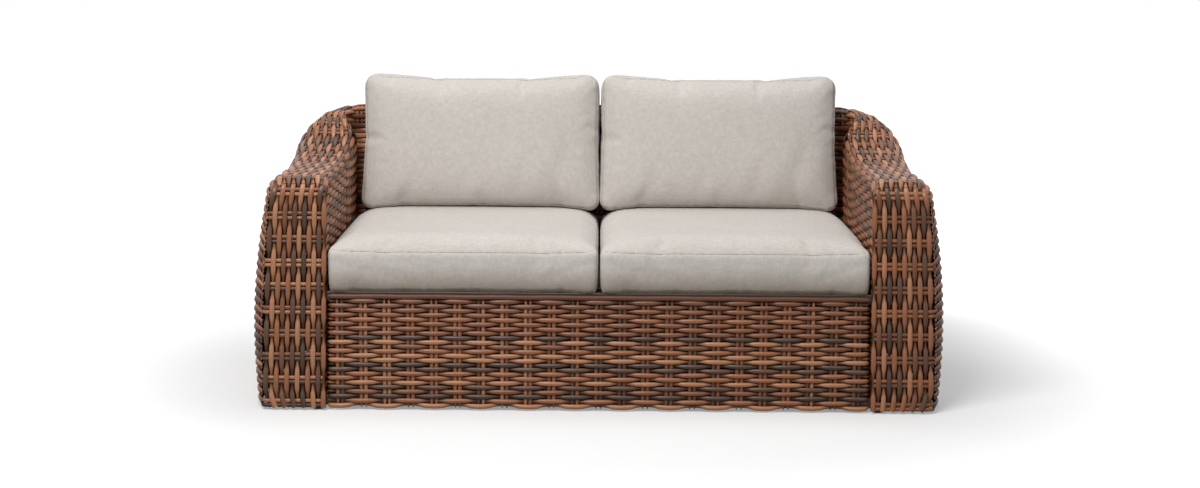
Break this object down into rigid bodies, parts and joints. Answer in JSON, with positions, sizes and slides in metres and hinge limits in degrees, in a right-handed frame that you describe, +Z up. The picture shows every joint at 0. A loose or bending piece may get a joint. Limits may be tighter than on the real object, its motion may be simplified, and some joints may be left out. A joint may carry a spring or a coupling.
{
  "type": "patio loveseat",
  "caption": "Two-seat patio sofa of woven brown resin wicker on a welded tube frame, with high curved arms and loose pale grey-beige seat and back cushions.",
  "frame": {"origin": "on the ground, under the middle of the sofa", "axes": "+X to the right of someone facing the front, +Y towards the back, +Z up"},
  "size_m": [1.8546, 0.9151, 0.8506],
  "materials": {
    "wicker": "satin",
    "wicker_dark": "satin",
    "frame_metal": "satin",
    "glide_plastic": "matte",
    "cushion_fabric": "matte",
    "cushion_filling": "matte"
  },
  "bodies": {
    "sofa_frame": {"apron_border": "wicker_dark", "back_top_rail": "frame_metal", "back_uprights": "frame_metal", "back_weave": "wicker", "front_apron_weave": "wicker", "front_base_rail": "frame_metal", "front_left_glide": "glide_plastic", "front_right_glide": "glide_plastic", "front_seat_rail": "frame_metal", "glide_sockets": "glide_plastic", "left_arm_front_weave": "wicker", "left_arm_weave": "wicker", "left_base_crossbars": "frame_metal", "left_corner_weave": "wicker", "left_front_inner_post": "frame_metal", "left_front_outer_post": "frame_metal", "left_inner_base_rail": "frame_metal", "left_inner_top_rail": "frame_metal", "left_outer_base_rail": "frame_metal", "left_outer_top_rail": "frame_metal", "left_rear_inner_post": "frame_metal", "left_rear_outer_post": "frame_metal", "left_ribs": "frame_metal", "left_shoulder_tube": "frame_metal", "left_top_crossbars": "frame_metal", "rear_base_rail": "frame_metal", "rear_left_glide": "glide_plastic", "rear_right_glide": "glide_plastic", "rear_seat_rail": "frame_metal", "right_arm_front_weave": "wicker", "right_arm_weave": "wicker", "right_base_crossbars": "frame_metal", "right_corner_weave": "wicker", "right_front_inner_post": "frame_metal", "right_front_outer_post": "frame_metal", "right_inner_base_rail": "frame_metal", "right_inner_top_rail": "frame_metal", "right_outer_base_rail": "frame_metal", "right_outer_top_rail": "frame_metal", "right_rear_inner_post": "frame_metal", "right_rear_outer_post": "frame_metal", "right_ribs": "frame_metal", "right_shoulder_tube": "frame_metal", "right_top_crossbars": "frame_metal", "seat_deck": "wicker", "seat_stretchers": "frame_metal"},
    "seat_cushion_left": {"seat_cushion_left_cover": "cushion_fabric", "seat_cushion_left_foam": "cushion_filling"},
    "seat_cushion_right": {"seat_cushion_right_cover": "cushion_fabric", "seat_cushion_right_foam": "cushion_filling"},
    "back_cushion_left": {"back_cushion_left_cover": "cushion_fabric", "back_cushion_left_filling": "cushion_filling"},
    "back_cushion_right": {"back_cushion_right_cover": "cushion_fabric", "back_cushion_right_filling": "cushion_filling"}
  },
  "joints": [
    {"name": "seat_cushion_left_slide", "type": "slide", "parent": "sofa_frame", "child": "seat_cushion_left", "axis": [0, -1, 0], "range_m": [0, 0.76]},
    {"name": "seat_cushion_right_slide", "type": "slide", "parent": "sofa_frame", "child": "seat_cushion_right", "axis": [0, -1, 0], "range_m": [0, 0.76]},
    {"name": "back_cushion_left_lift", "type": "slide", "parent": "sofa_frame", "child": "back_cushion_left", "axis": [0, 0, 1], "range_m": [0, 0.46]},
    {"name": "back_cushion_right_lift", "type": "slide", "parent": "sofa_frame", "child": "back_cushion_right", "axis": [0, 0, 1], "range_m": [0, 0.46]}
  ]
}
